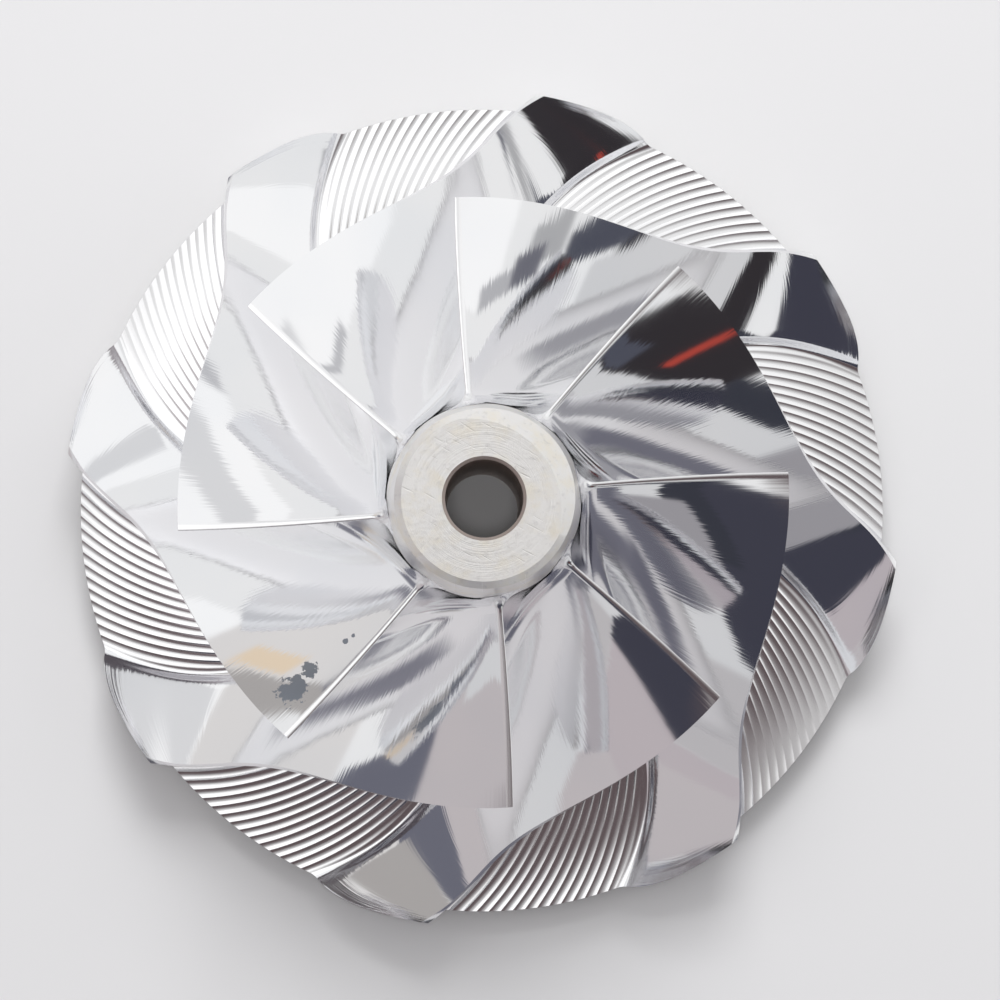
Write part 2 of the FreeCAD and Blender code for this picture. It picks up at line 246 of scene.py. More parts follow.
class Wheel:
    """The blade and hub surfaces of one pitch, from the settings w and b."""

    def __init__(self, wheel, blade):
        self.w, self.b = wheel, blade
        self.pitch = 2 * math.pi / blade.count
        self.rim_radius = wheel.tip_radius - wheel.rim_inset
        self.hub = EdgeLine(
            (wheel.hub_radius, wheel.inlet_height - wheel.hub_inset),
            (self.rim_radius - wheel.hub_inset, wheel.disc_face),
            wheel.fullness,
            blade.root_lead,
            blade.root_wrap,
            blade.root_inlet,
            blade.root_outlet,
        )
        self.shroud = EdgeLine(
            (wheel.inlet_radius, wheel.inlet_height - wheel.inlet_drop),
            (wheel.tip_radius, wheel.disc_face + wheel.tip_width),
            wheel.fullness,
            0.0,
            blade.tip_wrap,
            blade.tip_inlet,
            blade.tip_outlet,
        )

    def section(self, t):
        """The middle of the blade at t: root and top of the ruling line between hub and shroud,
        directions across the blade in the hub's surface and square to the ruling line, and the
        angle by which that line leans across.
        """
        root, top = self.hub.point(t), self.shroud.point(t)
        rule = unit(top - root)
        across = unit(np.cross(self.hub.normal(t), self.hub.flow(t)))
        up = unit(rule - across * dot(rule, across))
        lean = np.arctan2(dot(rule, across), dot(rule, up))
        square = across * np.cos(lean) - up * np.sin(lean)
        return root, top, across, square, lean

    def widths(self, t, root, top, square):
        """Widths of the blade at root and top along square: its thickness over the cosine between
        square and the blade's own normal. Near the inlet the thickness nears the leading edge's by
        exp(-t / share).
        """
        b, rule = self.b, unit(top - root)
        thin = np.exp(-np.maximum(t, 0.0) / b.edge_share)[..., None]
        low = b.root_thickness + (b.edge_root_thickness - b.root_thickness) * thin
        high = b.tip_thickness + (b.edge_tip_thickness - b.tip_thickness) * thin
        low = low / np.abs(dot(square, unit(np.cross(self.hub.flow(t), rule))))
        high = high / np.abs(dot(square, unit(np.cross(self.shroud.flow(t), rule))))
        return low, high

    def flank(self, t, side, s):
        """A point of a blade's side: s runs 0 at the tip, 1 above the root fillet, 2 on the hub.

        A side is a straight line half the width off the ruling line, then an arc that touches that
        line and the hub's tangent, pulled on to the hub's own curve.
        """
        t, s = np.broadcast_arrays(t, s)
        root, top, across, square, lean = self.section(t)
        low_width, high_width = self.widths(t, root, top, square)
        foot = root + square * (side * low_width / 2)
        tip = top + square * (side * high_width / 2)
        rise = unit(tip - foot)
        corner = math.pi / 2 - side * lean
        touch = self.b.root_fillet / np.tan(corner / 2)
        straight = tip + (foot + rise * touch - tip) * np.clip(s, 0, 1)[..., None]

        centre = foot + unit(rise + across * side) * (self.b.root_fillet / np.sin(corner / 2))
        first = foot + rise * touch - centre
        low = foot + across * (side * touch)
        sweep = math.pi - corner
        part = np.clip(s - 1, 0, 1)[..., None]
        arc = first * np.sin((1 - part) * sweep) + (low - centre) * np.sin(part * sweep)
        ground, place = self.on_hub(low, t)
        curved = centre + arc / np.sin(sweep) + (ground - low) * smooth(0, 1, part)
        return np.where(s[..., None] > 1, curved, straight), place

    def on_hub(self, points, t):
        """The nearest hub point to each point, by Newton's steps along the hub curve from t."""
        radius, turn = radius_of(points), turn_of(points)
        for _ in range(NEWTON_STEPS):
            r, z, dr, dz = self.hub.meridian(t)
            t = t + ((radius - r) * dr + (points[..., 2] - z) * dz) / (dr**2 + dz**2)
        r, z, _, _ = self.hub.meridian(t)
        return around(r, turn, z), t

    def inlet_gap(self, points):
        """How far points lie above the turned face of the leading edges."""
        w = self.w
        slope = w.inlet_drop / (w.inlet_radius - w.hub_radius)
        return points[..., 2] - (w.inlet_height - slope * (radius_of(points) - w.hub_radius))

    def outlet_gap(self, points):
        """How far points lie outside the turned face of the trailing edges: upright down to the
        centre of the undercut's circle, and on that circle below it."""
        w, bend = self.w, self.w.undercut_radius
        centre = w.disc_face + math.sqrt(bend**2 - (bend - w.rim_inset) ** 2)
        below = np.clip(centre - points[..., 2], 0, centre - w.disc_face)
        return radius_of(points) - (w.tip_radius - bend + np.sqrt(bend**2 - below**2))

    def trimmed(self, side, s):
        """Where each line s of a flank meets the turned inlet and outlet faces, by halving."""
        ends = []
        for gap, (low, high) in (
            (self.inlet_gap, INLET_SEARCH),
            (self.outlet_gap, OUTLET_SEARCH),
        ):
            a, b = np.full(s.shape, low), np.full(s.shape, high)
            below = gap(self.flank(a, side, s)[0]) > 0
            for _ in range(HALVINGS):
                middle = (a + b) / 2
                same = (gap(self.flank(middle, side, s)[0]) > 0) == below
                a, b = np.where(same, middle, a), np.where(same, b, middle)
            ends.append((a + b) / 2)
        return ends

    def side_grid(self, side, rows, s):
        """A flank and its root fillet between the inlet and outlet faces, one row per share.

        Also gives, for the foot of each row, its place along the hub curve and its angle ahead of
        the root line.
        """
        start, end = self.trimmed(side, s)
        t = start + (end - start) * rows[:, None]
        points, place = self.flank(t, side, s[None, :])
        place = place[:, -1]
        return points, place, short_way(turn_of(points[:, -1]) - self.hub.turn(place))

    def nose_line(self, z):
        """Radius of the hub and nose at a height above the leading edges."""
        w = self.w
        start = w.inlet_height + w.hub_inset
        rise = np.clip((z - start) / (w.height - start), 0, 1)
        return w.hub_radius + (w.nose_radius - w.hub_radius) * rise


# ---------------------------------------------------------------- one closed skin

FLANK, FLOOR, EDGE, TURNED, BORE = range(5)  # material numbers
MERGE = 2e-7  # points nearer than this are one
SHARP = math.radians(24)


class Skin:
    """Collects grids of points as faces with their UVs and material numbers."""

    def __init__(self):
        self.points, self.faces, self.uvs, self.kinds = [], [], [], []
        self.total = 0

    def grid(self, points, uv, kind):
        """A grid of quads over rows and columns of points."""
        rows, columns = points.shape[:2]
        index = np.arange(rows * columns).reshape(rows, columns)
        quads = np.stack([index[:-1, :-1], index[1:, :-1], index[1:, 1:], index[:-1, 1:]], axis=-1)
        quads = quads.reshape(-1, 4)
        flat = np.broadcast_to(uv, (rows, columns, 2)).reshape(-1, 2)
        self.points.append(points.reshape(-1, 3))
        self.uvs.append(flat[quads].reshape(-1, 2))
        self.faces.append(quads + self.total)
        self.kinds.append(np.full(len(quads), kind))
        self.total += rows * columns

    def gather(self, fine, coarse, uv_fine, uv_coarse, step, kind):
        """Joins a closed ring to one with fewer points: each face has step + 1 and 2 corners."""
        count = len(coarse)
        index = np.arange(count)
        wide = (index[:, None] * step + np.arange(step + 1)) % len(fine)
        narrow = np.stack([(index + 1) % count, index], axis=-1) + len(fine)
        faces = np.concatenate([wide, narrow], axis=1)
        self.points.append(np.concatenate([fine, coarse]))
        self.uvs.append(np.concatenate([uv_fine, uv_coarse])[faces].reshape(-1, 2))
        self.faces.append(faces + self.total)
        self.kinds.append(np.full(count, kind))
        self.total += len(fine) + count

    def mesh(self, name):
        """One closed mesh: equal points merged, faces turned outwards, sharp edges marked."""
        sizes = np.concatenate([np.full(len(f), f.shape[1]) for f in self.faces])
        loops = np.concatenate([f.reshape(-1) for f in self.faces])
        mesh = bpy.data.meshes.new(name)
        mesh.vertices.add(self.total)
        mesh.vertices.foreach_set("co", np.concatenate(self.points).reshape(-1))
        mesh.loops.add(len(loops))
        mesh.loops.foreach_set("vertex_index", loops)
        mesh.polygons.add(len(sizes))
        mesh.polygons.foreach_set("loop_start", np.concatenate([[0], np.cumsum(sizes)[:-1]]))
        mesh.polygons.foreach_set("material_index", np.concatenate(self.kinds))
        mesh.update(calc_edges=True)
        layer = mesh.uv_layers.new(name="Flow")
        layer.data.foreach_set("uv", np.concatenate(self.uvs).reshape(-1))
        work = bmesh.new()
        work.from_mesh(mesh)
        bmesh.ops.remove_doubles(work, verts=work.verts, dist=MERGE)
        bmesh.ops.recalc_face_normals(work, faces=work.faces)
        open_edges = sum(not edge.is_manifold for edge in work.edges)
        work.to_mesh(mesh)
        work.free()
        if open_edges:
            raise RuntimeError(f"{name} isn't closed: {open_edges} open edges")
        mesh.set_sharp_from_angle(angle=SHARP)
        return mesh


ROWS = 46  # from leading to trailing edge
CROWDING = 0.35  # how much closer the rows lie at both ends
BLADE_COLUMNS, FILLET_COLUMNS = 12, 9
CAP = np.cos(np.linspace(0, math.pi, 9))  # across an edge, from 1 at the clockwise side to -1
CAP_SHARE = (1 - CAP) / 2

# floor columns from one foot to the next: up to the ridges, across them, and on
NEAR_COLUMNS, FAR_COLUMNS = 11, 10
RIDGES, RIDGE_COLUMNS = 17, 7
RIDGES_BEGIN = math.radians(9.6)  # ahead of the root line; the first ridge is one pass past it
RIDGES_SETTLE = (0.45, 0.62)  # along the hub line: the ridges' columns keep their angle past here
FOOT_SHARE = 0.12  # of the gap, on each side of those columns before that
RIDGES_GROW = (0.022, 0.031)  # radii between which the ridges grow to their height
FOOT_FADE = 0.0006  # ridges fade this far from a foot

# UV lengths in metres
FLOW_UV, FLANK_UV, FLOOR_UV = 0.055, 0.012, (0.024, 0.060)
TIP_UV, CAP_UV, RING_UV, PITCH_UV = 0.0005, 0.001, 0.01, 0.1

GATHER = 4  # points of a fine ring to one of a coarse one
LEVEL_RING, EVEN_RING = 0.0020, 0.0034  # above the leading edges
RISE_ROWS, EVEN_ROWS = 3, 5  # up to the level ring, and on to the even one
CUT_FALL = 1.3  # the balancing cut falls this much for each unit of its width
RIM_BAND = 0.0004  # height of the gathered ring above the disc's rear edge


def floor_grid(wheel, ccw, cw):
    """The floor between two blades, with the cutter's ridges, from the feet of both sides.

    A point's place along the hub runs evenly from one foot's to the other's. Its angle ahead of the
    root line runs from the first foot to the ridges, over them in even steps, and to the next foot.
    A ridge stands off the hub as the parabola (2p - 1)^2 - 1/3 of the share p of its cutter pass,
    and fades towards the nose and the feet.
    """
    (place_a, near), (place_b, far) = ccw, cw
    columns = np.arange(NEAR_COLUMNS + RIDGES * RIDGE_COLUMNS + FAR_COLUMNS + 1)
    place = place_a[:, None] + (place_b - place_a)[:, None] * columns / columns[-1]
    near, far = near[:, None], far[:, None] + wheel.pitch
    cusp = wheel.pitch / wheel.b.cusps
    begin = RIDGES_BEGIN + cusp
    settle = smooth(*RIDGES_SETTLE, place)
    foot = FOOT_SHARE * (far - near)
    first = (1 - settle) * (near + foot) + settle * begin
    last = (1 - settle) * (far - foot) + settle * (begin + RIDGES * cusp)
    parts = ((first - near, NEAR_COLUMNS), (last - first, RIDGES * RIDGE_COLUMNS))
    turn, start = near, 0
    for reach, count in (*parts, (far - last, FAR_COLUMNS)):
        turn = turn + reach * np.clip((columns - start) / count, 0, 1)
        start += count

    r, z, dr, dz = wheel.hub.meridian(place)
    phase = (turn - begin) / cusp % 1
    clear = smooth(0, FOOT_FADE, (turn - near) * r) * smooth(0, FOOT_FADE, (far - turn) * r)
    ridge = ((2 * phase - 1) ** 2 - 1 / 3) * smooth(*RIDGES_GROW, r) * clear
    scale = wheel.b.cusp_height * ridge / np.hypot(dr, dz)
    return around(r - dz * scale, turn + wheel.hub.turn(place), z + dr * scale)


def cap_between(low, high):
    """Points between two lines by radius, angle and height, one for each cap column."""
    low_turn = turn_of(low)
    ends = (
        (radius_of(low), radius_of(high)),
        (low_turn, low_turn + short_way(turn_of(high) - low_turn)),
        (low[..., 2], high[..., 2]),
    )
    return around(*(a[..., None] + (b - a)[..., None] * CAP_SHARE for a, b in ends))


def inlet_cap(wheel, s, cw, ccw):
    """Leading edge: a half round between the sides, as far forward as half the width there.

    Its foot is pulled on to the nose.
    """
    flat = cw[:, None] + (ccw - cw)[:, None] * CAP_SHARE[:, None]
    root_ahead, tip_ahead = (-line.flow(np.zeros(1))[0] for line in (wheel.hub, wheel.shroud))
    down = np.clip(s, 0, 1)[:, None]
    forward = unit(tip_ahead * (1 - down) + root_ahead * down)
    half_width = np.linalg.norm(ccw - cw, axis=-1)[:, None, None] / 2
    bulge = np.sqrt(np.clip(1 - CAP**2, 0, 1))[None, :, None] * half_width
    cap = flat + forward[:, None] * bulge
    foot = cap[-1]
    cap[-1, 1:-1] = around(wheel.nose_line(foot[:, 2]), turn_of(foot), foot[:, 2])[1:-1]
    return cap


def spun(points, turn):
    """Points turned about the axis."""
    c, s = math.cos(turn), math.sin(turn)
    return points @ np.array([[c, s, 0], [-s, c, 0], [0, 0, 1]])


def flow_uv(rows, columns):
    return np.stack(np.meshgrid(rows * FLOW_UV, columns, indexing="ij"), axis=-1)


def add_pitches(skin, wheel):
    """Blades and floors, one pitch repeated; gives the rings where nose and rim join on."""
    rows = np.linspace(0, 1, ROWS)
    rows = rows - CROWDING * np.sin(2 * math.pi * rows) / (2 * math.pi)
    s = np.concatenate([np.linspace(0, 1, BLADE_COLUMNS)[:-1], np.linspace(1, 2, FILLET_COLUMNS)])
    ccw, *ccw_feet = wheel.side_grid(1, rows, s)
    cw, *cw_feet = wheel.side_grid(-1, rows, s)
    floor = floor_grid(wheel, ccw_feet, cw_feet)
    tip = cap_between(cw[:, 0], ccw[:, 0])
    outlet = cap_between(cw[-1], ccw[-1])
    inlet = inlet_cap(wheel, s, cw[0], ccw[0])
    corner = np.stack([inlet[0], tip[0]])
    span, floor_columns = s * FLANK_UV, np.linspace(*FLOOR_UV, floor.shape[1])

    rings = [], []
    for number in range(wheel.b.count):
        turn, shift = number * wheel.pitch, number * PITCH_UV
        cap_uv = np.stack(np.meshgrid(span, CAP_SHARE * CAP_UV + shift, indexing="ij"), axis=-1)
        for points, uv, kind in (
            (ccw, flow_uv(rows, span + shift), FLANK),
            (cw, flow_uv(rows, shift - span), FLANK),
            (tip, flow_uv(rows, CAP_SHARE * TIP_UV + shift), EDGE),
            (floor, flow_uv(rows, floor_columns + shift), FLOOR),
            (outlet, cap_uv, EDGE),
            (inlet, cap_uv, EDGE),
            (corner, np.zeros(2), EDGE),
        ):
            skin.grid(spun(points, turn), uv, kind)
        for ring, row, cap in zip(rings, (0, -1), (inlet, outlet)):
            ring += [spun(floor[row, :-1], turn), spun(cap[-1, :-1], turn + wheel.pitch)]
    return [np.concatenate(ring) for ring in rings]


def ringed(radius, turns, height):
    """Closed rings, one row for each radius and height, the first point repeated at the end."""
    radius, turns, height = np.broadcast_arrays(radius, turns, height)
    turns = np.concatenate([turns, turns[..., :1] + 2 * math.pi], axis=-1)
    radius, height = (np.concatenate([x, x[..., :1]], axis=-1) for x in (radius, height))
    return around(radius, turns, height), np.stack([radius, turns * RING_UV], axis=-1)


def add_cone(skin, wheel, ring):
    """The foot of the nose, from the inlet ring up the cone to a ring with even angles.

    The rows rise to a level ring and lean with the blades as they do, and then turn to even steps.
    Gives the angles and the last row of points and UVs.
    """
    turns, inlet = np.unwrap(turn_of(ring)), wheel.w.inlet_height
    rows = np.arange(RISE_ROWS + EVEN_ROWS + 1)[:, None]
    rise = np.clip(rows / RISE_ROWS, 0, 1)
    even_share = np.clip((rows - RISE_ROWS) / EVEN_ROWS, 0, 1)
    to_level = inlet + LEVEL_RING - ring[:, 2]
    heights = ring[:, 2] + to_level * rise + (EVEN_RING - LEVEL_RING) * even_share
    radii = wheel.nose_line(heights)
    radii[0] = radius_of(ring)
    start = np.float64(0.0)
    lean = wheel.hub.turn_slope(start) / wheel.hub.meridian(start)[3]
    leant = turns + lean * to_level
    even = 2 * math.pi * np.arange(len(turns)) / len(turns)
    even += np.mean(leant - even)
    cone, uv = ringed(radii, turns + (leant - turns) * rise + (even - leant) * even_share, heights)
    skin.grid(cone, uv, TURNED)
    return even, cone[-1, :-1], uv[-1, :-1]


def add_rim(skin, wheel, ring, low):
    """The disc's edge, from the outlet ring down to height low; gives the angles there."""
    turns = np.unwrap(turn_of(ring))
    level = 0 * turns
    radii = np.stack([radius_of(ring), level + wheel.rim_radius])
    band, uv = ringed(radii, turns, np.stack([ring[:, 2], level + low + RIM_BAND]))
    skin.grid(band, uv, TURNED)
    rim_turns = turns[::GATHER]
    rim = around(wheel.rim_radius, rim_turns, low)
    skin.gather(band[1, :-1], rim, uv[1, :-1], np.zeros((len(rim), 2)), GATHER, TURNED)
    return rim_turns


def way(start, end, shares):
    """Radius and height pairs at shares of the way from one to the other."""
    (r0, z0), (r1, z1) = start, end
    return [(r0 + (r1 - r0) * k, z0 + (z1 - z0) * k) for k in shares]


def nose_profile(wheel, turns):
    """Up the cone, over the bevel and across the face to the bore, for all angles at once.

    On one side the bevel widens into the balancing cut: the face ends on a circle about a point off
    the axis, where that lies inside the plain edge.
    """
    w, b = wheel.w, wheel.b
    plain = w.nose_radius - w.nose_bevel
    swing = turns - b.cut_direction
    circle = plain - b.cut_width + b.cut_offset
    cut = np.sqrt(circle**2 - (b.cut_offset * np.sin(swing)) ** 2) - b.cut_offset * np.cos(swing)
    edge = np.minimum(plain, cut)
    low = w.height - w.nose_bevel - CUT_FALL * (plain - edge)
    start = w.inlet_height + EVEN_RING
    cone = [start + (low - start) * k for k in (0.15, 0.4, 0.7, 1)]
    face, hole = (edge, w.height), (w.bore_radius + w.edge_chamfer, w.height)
    return [
        *((wheel.nose_line(z), z) for z in cone),
        *way((wheel.nose_line(low), low), face, (0.5, 1)),
        *way(face, hole, (0.33, 0.67, 1)),
    ]


def build_skin(wheel):
    """The whole wheel as one skin: the pitches, the nose and bore, and the rear to the rim."""
    w, skin = wheel.w, Skin()
    inlet_ring, outlet_ring = add_pitches(skin, wheel)
    even, fine, fine_uv = add_cone(skin, wheel, inlet_ring)
    nose_turns = even[::GATHER]
    rim_low = w.disc_face - w.rim_thickness
    rim_turns = add_rim(skin, wheel, outlet_ring, rim_low)

    nose = nose_profile(wheel, nose_turns)
    chamfer, boss, disc_low = w.edge_chamfer, w.boss_radius, rim_low - w.back_drop
    bore = [(w.bore_radius, w.height - chamfer), (w.bore_radius, chamfer)]
    bore += [(w.bore_radius + chamfer, 0.0)]
    back = (boss + w.boss_taper, disc_low)
    rear = [(boss - chamfer, 0.0), (boss + w.boss_taper / disc_low * chamfer, chamfer), back]
    disc = way(back, (wheel.rim_radius, rim_low), (0.25, 0.5, 0.75, 1))

    # the rear face's rings turn over from the nose's angles to the nearest of the rim's
    count = len(rim_turns)
    index = np.arange(count) + round((nose_turns[0] - rim_turns[0]) / (2 * math.pi) * count)
    rear_turns = rim_turns[index % count] + 2 * math.pi * (index // count)
    profile = [*nose, *bore, *rear, *disc]
    turned = np.zeros((len(profile), 1))
    turned[-len(disc) :, 0] = np.arange(1, len(disc) + 1) / len(disc)
    radii, heights = (np.array([np.broadcast_to(x, count) for x in line]) for line in zip(*profile))
    body, uv = ringed(radii, nose_turns + (rear_turns - nose_turns) * turned, heights)

    skin.gather(fine, body[0, :-1], fine_uv, uv[0, :-1], GATHER, TURNED)
    top, end = len(nose), len(nose) + len(bore)
    parts = (slice(0, top), TURNED), (slice(top - 1, end), BORE), (slice(end - 1, None), TURNED)
    for rows, kind in parts:
        skin.grid(body[rows], uv[rows], kind)
    return skin


# ---------------------------------------------------------------- shader maths


def two_way(operation):
    """An operator that adds a Math node, and its reflected form."""

    def plain(self, other):
        return self.math(operation, self, other)

    def reflected(self, other):
        return self.math(operation, other, self)

    return plain, reflected


class Value:
    """A shader socket whose arithmetic adds Math nodes to its tree."""

    __add__, __radd__ = two_way("ADD")
    __sub__, __rsub__ = two_way("SUBTRACT")
    __mul__, __rmul__ = two_way("MULTIPLY")
    __truediv__, __rtruediv__ = two_way("DIVIDE")
    __pow__, __rpow__ = two_way("POWER")

    def __init__(self, shader, socket):
        self.shader, self.socket = shader, socket

    def math(self, operation, first, second):
        return self.shader.node("ShaderNodeMath", {"operation": operation}, {0: first, 1: second})

    def step(self, low, high):
        """0 below low and 1 above high, smooth between."""
        return self.shader.node(
            "ShaderNodeMapRange",
            {"interpolation_type": "SMOOTHSTEP"},
            {"Value": self, "From Min": low, "From Max": high},
        )


class Shader:
    """An empty node tree and the ways to add nodes to it."""

    def __init__(self, tree):
        self.tree = tree
        tree.nodes.clear()

    def node(self, kind, settings=None, inputs=None, output=0):
        """One node: its settings first, then its inputs by name or number; gives one output.

        An input is linked to a value, or set to a plain number or colour.
        """
        made = self.tree.nodes.new(kind)
        for name, value in (settings or {}).items():
            setattr(made, name, value)
        for name, value in (inputs or {}).items():
            if isinstance(value, Value):
                self.tree.links.new(value.socket, made.inputs[name])
            else:
                made.inputs[name].default_value = value
        return Value(self, made.outputs[output]) if made.outputs else None

    def place(self):
        return self.node("ShaderNodeTexCoord", output="Object")

    def flow(self):
        return self.node("ShaderNodeUVMap", {"uv_map": "Flow"})

    def turned(self, vector, turn):
        """The coordinates turned about the axis."""
        inputs = {"Vector": vector, "Rotation": (0.0, 0.0, turn)}
        return self.node("ShaderNodeMapping", inputs=inputs)

    def noise(self, vector, scale, detail=2.0, roughness=0.5):
        """Noise of one scale, or of one for each axis."""
        if isinstance(scale, tuple):
            inputs = {"Vector": vector, "Scale": scale}
            vector, scale = self.node("ShaderNodeMapping", inputs=inputs), 1.0
        inputs = {"Vector": vector, "Scale": scale, "Detail": detail, "Roughness": roughness}
        return self.node("ShaderNodeTexNoise", inputs=inputs)

    def mix(self, share, first, second):
        """A colour between two by a share."""
        inputs = {0: share, 6: first, 7: second}
        return self.node("ShaderNodeMix", {"data_type": "RGBA"}, inputs, output=2)

    def away(self, vector, centre):
        """Distance from a point."""
        inputs = {0: vector, 1: centre}
        return self.node("ShaderNodeVectorMath", {"operation": "DISTANCE"}, inputs, "Value")

    def split(self, vector):
        """The parts x, y and z of a vector, and its level length, kept off zero."""
        made = self.node("ShaderNodeSeparateXYZ", inputs={"Vector": vector}).socket.node
        x, y, z = (Value(self, socket) for socket in made.outputs)
        return x, y, z, (x * x + y * y) ** 0.5 + 1e-4

    def bump(self, height, distance, strength):
        inputs = {"Height": height, "Distance": distance, "Strength": strength}
        return self.node("ShaderNodeBump", inputs=inputs)

    def seen(self):
        """1 for what the camera sees directly, and 0 for what lights or is mirrored."""
        return self.node("ShaderNodeLightPath", output="Is Camera Ray")


class Finish(Shader):
    """A new material."""

    def __init__(self, name):
        self.material = bpy.data.materials.new(name)
        self.material.use_nodes = True
        super().__init__(self.material.node_tree)

    def principled(self, inputs):
        shader = self.node("ShaderNodeBsdfPrincipled", inputs=inputs)
        self.node("ShaderNodeOutputMaterial", inputs={"Surface": shader})
        return self.material

    def metal(self, base, roughness, normal=None):
        inputs = {"Base Color": base, "Metallic": 1.0, "Roughness": roughness}
        return self.principled(inputs if normal is None else inputs | {"Normal": normal})


# ---------------------------------------------------------------- finishes

# centre and reach in metres of the stains on one blade
STAINS = (
    ((-0.0201, -0.0169, 0.0273), 0.0015),
    ((-0.0184, -0.0149, 0.0273), 0.0009),
    ((-0.0146, -0.0125, 0.0279), 0.0003),
    ((-0.0138, -0.0120, 0.0281), 0.0002),
)
STAIN = (0.16, 0.19, 0.24)
HAZED = (0.86, 0.87, 0.89)
CREAM = (0.93, 0.89, 0.80)
DENTED = (0.66, 0.65, 0.64)


def rgba(values):
    return (*values, 1.0)


def stained(made):
    """1 inside ragged blots: the distance to a centre in units of its reach, torn by noise."""
    place = made.place()
    torn = (made.noise(place, 1100.0, 3.0, 0.7) - 0.5) * 2.6
    clean = 1.0
    for centre, reach in STAINS:
        clean = clean * (made.away(place, centre) / reach + torn).step(0.85, 1.0)
    return 1 - clean


def flank_finish(look):
    """Mirror-bright flank: fine marks across the flow, long waves, haze, stains on one blade."""
    made = Finish("milled_flank")
    flow = made.flow()
    marks = made.noise(flow, (4200.0, 60.0, 1.0), 1.0, 0.6)
    waves = made.noise(flow, (190.0, 45.0, 1.0), 1.0)
    haze = made.noise(made.place(), 60.0)
    dirt = stained(made)
    base = made.mix(haze.step(0.35, 0.75), rgba(look.bright), rgba(HAZED))
    base = made.mix(dirt * 0.85, base, rgba(STAIN))
    roughness = haze * 0.05 + dirt * 0.25 + (look.flank_roughness - 0.02)
    return made.metal(base, roughness, made.bump(marks * 0.32 + waves * 1.4, 0.00002, 0.6))


def floor_finish(look):
    """Floor between the blades: bright, with fine marks along the cutter passes."""
    made = Finish("milled_floor")
    marks = made.noise(made.flow(), (60.0, 3000.0, 1.0), 2.0, 0.6)
    return made.metal(rgba(look.bright), marks * 0.08 + 0.10, made.bump(marks, 0.00001, 0.4))


def edge_finish(look):
    """Turned leading, tip and trailing edges: bright, lightly brushed."""
    made = Finish("turned_edge")
    brush = made.noise(made.flow(), (300.0, 9000.0, 1.0))
    return made.metal(rgba(look.bright), brush * 0.12 + 0.12)


def nose_finish(look):
    """Turned nose, rim and rear face: satin, mottled, with turning rings, dents and scratches."""
    made = Finish("turned_face")
    place = made.place()
    rings = made.noise(made.flow(), (9000.0, 30.0, 1.0), 3.0, 0.7)
    cloud = made.noise(place, 350.0, 4.0, 0.6)
    dents = made.noise(place, 1300.0, 3.0, 0.6)
    scratch = made.noise(made.turned(place, 0.6), (260.0, 3600.0, 0.0), 1.0).step(0.66, 0.72)
    cross = made.noise(place, (3300.0, 300.0, 0.0), 1.0).step(0.68, 0.74)
    tint = made.mix(cloud.step(0.42, 0.72), rgba(look.turned), rgba(CREAM))
    tint = made.mix(dents.step(0.55, 0.78) * 0.5, tint, rgba(DENTED))
    height = rings + dents * 0.9 - scratch * 0.6 - cross * 0.4
    roughness = cloud * 0.16 + (look.nose_roughness - 0.10)
    return made.metal(tint, roughness, made.bump(height, 0.00003, 0.7))


def bore_finish(look):
    """Inside of the bore: dull, darker and brownish, with reaming rings."""
    made = Finish("bore_wall")
    rings = made.noise(made.flow(), (5000.0, 10.0, 1.0))
    return made.metal(rgba(look.bore), rings * 0.2 + 0.4, made.bump(rings, 0.00002, 0.6))


# ---------------------------------------------------------------- the wheel


def put(data, name):
    made = bpy.data.objects.new(name, data)
    bpy.context.scene.collection.objects.link(made)
    return made


class WHEEL_OT_milled_wheel(Operator):
    """The wheel in one piece: blades, ridged floors, nose, bore and rear face"""

    bl_idname = "wheel.milled_wheel"
    bl_label = "Milled Wheel"

    def execute(self, context):
        scene = context.scene
        skin = build_skin(Wheel(scene.wheel_sizes, scene.blade_sizes))
        piece = put(skin.mesh("milled_wheel"), "milled_wheel")
        look = scene.wheel_finish
        for finish in (flank_finish, floor_finish, edge_finish, nose_finish, bore_finish):
            piece.data.materials.append(finish(look))
        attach(piece, "root")
        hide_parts("compressor_wheel")
        return {"FINISHED"}


# ---------------------------------------------------------------- the studio

VIEW_TURN = -4.8  # degrees from the wheel's own directions to the view's

# what stands around the wheel, later ones in front: azimuth from the right of the view, half width,
# lowest and highest elevation in degrees, colour

AROUND = (
    (64, 58, 18, 58, (1.02, 1.02, 1.02)),
    (142, 65, 52, 89, (1.25, 1.25, 1.25)),
    (354, 5, 22, 33, (0.44, 0.44, 0.45)),
    (4, 8, 17, 24, (0.48, 0.48, 0.50)),
    (58, 11, 18, 22, (0.55, 0.55, 0.57)),
    (90, 28, 28, 38, (0.74, 0.74, 0.75)),
    (255, 33, 6, 48, (0.052, 0.052, 0.072)),
    (317, 17, -9, 44, (0.034, 0.030, 0.034)),
    (315, 1, 22, 38, (0.50, 0.07, 0.05)),
    (281, 20, 10, 29, (0.042, 0.044, 0.058)),
    (336, 12, 17, 28, (0.080, 0.084, 0.110)),
    (216, 13, 11, 66, (0.51, 0.46, 0.48)),
    (188, 21, -3, 49, (0.54, 0.50, 0.51)),
    (160, 12, 18, 35, (0.150, 0.152, 0.190)),
    (139, 18, 34, 43, (0.42, 0.40, 0.39)),
    (134, 15, -5, 34, (0.75, 0.73, 0.72)),
    (133, 6, 26, 33, (0.80, 0.66, 0.50)),
    (259, 80, -2, 15, (0.67, 0.67, 0.68)),
    (358, 4, 18, 27, (0.16, 0.16, 0.19)),
    (267, 12, -1, 22, (0.33, 0.32, 0.34)),
    (225, 9, -8, 15, (0.52, 0.50, 0.51)),
)
TENT = (0.89, 0.89, 0.89)
TENT_EDGE = 1  # degrees of elevation over which an edge softens, each way
TENT_SIDE = 0.9  # degrees of azimuth
